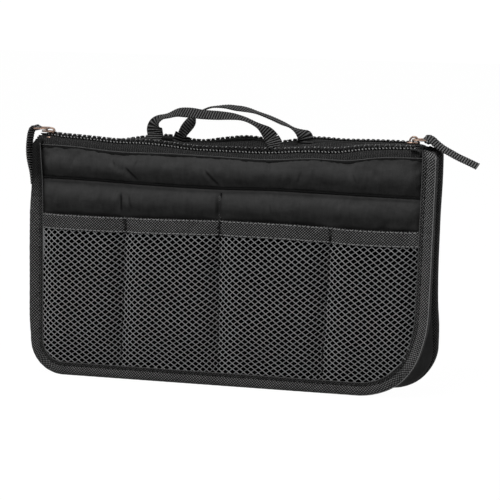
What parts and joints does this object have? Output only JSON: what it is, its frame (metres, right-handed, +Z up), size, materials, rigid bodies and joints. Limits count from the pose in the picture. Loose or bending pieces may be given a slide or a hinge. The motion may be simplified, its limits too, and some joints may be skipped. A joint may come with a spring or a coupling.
{
  "type": "purse organizer insert",
  "caption": "Bag-in-bag insert: padded zipped pouches joined by a gusset, with webbing handles, a net pocket, slip pockets and ring pulls.",
  "frame": {"origin": "centre of the gusset's flat underside, where the organizer stands", "axes": "+X along the width to the right seen from the front, +Y towards the rear pouch, +Z up"},
  "size_m": [0.3189, 0.0438, 0.1984],
  "materials": {
    "satin": "smooth charcoal satin weave",
    "foam": "soft padding",
    "lining": "plain weave",
    "twill": "diagonal twill tape",
    "netting": "diamond mesh",
    "zip_tape": "woven tape",
    "webbing": "ribbed webbing",
    "tooth_plastic": "moulded coil",
    "copper": "copper plated"
  },
  "bodies": {
    "rear_pouch": {"rear_inner_wall": "lining", "rear_wall_lining": "lining", "rear_wall_foam": "foam", "rear_wall_skin": "satin", "rear_slip_pocket": "satin", "rear_pocket_hem": "twill", "rear_binding": "twill", "rear_zip_outer_tape": "zip_tape", "rear_zip_inner_tape": "zip_tape", "rear_zip_outer_teeth": "tooth_plastic", "rear_zip_inner_teeth": "tooth_plastic", "rear_zip_left_tab": "zip_tape", "rear_zip_right_tab": "zip_tape", "rear_handle_left_end": "webbing", "rear_handle_right_end": "webbing", "rear_flat_pocket": "satin", "centre_gusset": "lining"},
    "front_pouch": {"front_inner_wall": "lining", "front_wall_lining": "lining", "front_wall_foam": "foam", "front_wall_skin": "satin", "front_slip_pocket": "satin", "front_pocket_hem": "twill", "front_binding": "twill", "front_zip_outer_tape": "zip_tape", "front_zip_inner_tape": "zip_tape", "front_zip_outer_teeth": "tooth_plastic", "front_zip_inner_teeth": "tooth_plastic", "front_zip_left_tab": "zip_tape", "front_zip_right_tab": "zip_tape", "front_handle_left_end": "webbing", "front_handle_right_end": "webbing", "front_net_pocket": "netting"},
    "front_slider": {"front_slider": "copper"},
    "front_ring": {"front_pull_ring": "copper"},
    "front_pull": {"front_webbing_pull": "webbing"},
    "front_handle": {"front_handle": "webbing"},
    "rear_slider": {"rear_slider": "copper"},
    "rear_ring": {"rear_pull_ring": "copper"},
    "rear_pull": {"rear_webbing_pull": "webbing"},
    "rear_handle": {"rear_handle": "webbing"}
  },
  "joints": [
    {"name": "pouch_spread", "type": "slide", "parent": "rear_pouch", "child": "front_pouch", "axis": [0, -1, 0], "range_m": [0, 0.035], "deforming": ["centre_gusset"]},
    {"name": "front_zip_travel", "type": "slide", "parent": "front_pouch", "child": "front_slider", "axis": [1, 0, 0], "range_m": [0, 0.2602], "deforming": ["front_webbing_pull"]},
    {"name": "front_ring_flip", "type": "hinge", "parent": "front_slider", "child": "front_ring", "pos_m": [-0.1355, -0.0106, 0.1771], "axis": [0, 1, 0], "range_deg": [0, 180]},
    {"name": "front_pull_lift", "type": "hinge", "parent": "front_ring", "child": "front_pull", "pos_m": [-0.145, -0.0106, 0.1771], "axis": [0, 1, 0], "range_deg": [0, 90]},
    {"name": "front_handle_fold", "type": "hinge", "parent": "front_pouch", "child": "front_handle", "pos_m": [-0.015, -0.003, 0.175], "axis": [1, 0, 0], "range_deg": [0, 70]},
    {"name": "rear_zip_travel", "type": "slide", "parent": "rear_pouch", "child": "rear_slider", "axis": [-1, 0, 0], "range_m": [0, 0.2602], "deforming": ["rear_webbing_pull"]},
    {"name": "rear_ring_flip", "type": "hinge", "parent": "rear_slider", "child": "rear_ring", "pos_m": [0.1247, 0.0106, 0.1771], "axis": [0, -1, 0], "range_deg": [0, 180]},
    {"name": "rear_pull_lift", "type": "hinge", "parent": "rear_ring", "child": "rear_pull", "pos_m": [0.1342, 0.0106, 0.1771], "axis": [0, -1, 0], "range_deg": [0, 31]},
    {"name": "rear_handle_fold", "type": "hinge", "parent": "rear_pouch", "child": "rear_handle", "pos_m": [0.005, 0.003, 0.175], "axis": [-1, 0, 0], "range_deg": [0, 70]}
  ],
  "couplings": [
    {"joint": "front_pull_lift", "follows": "front_zip_travel", "rad_per_m": 6.03},
    {"joint": "rear_pull_lift", "follows": "rear_zip_travel", "rad_per_m": 2.01}
  ]
}
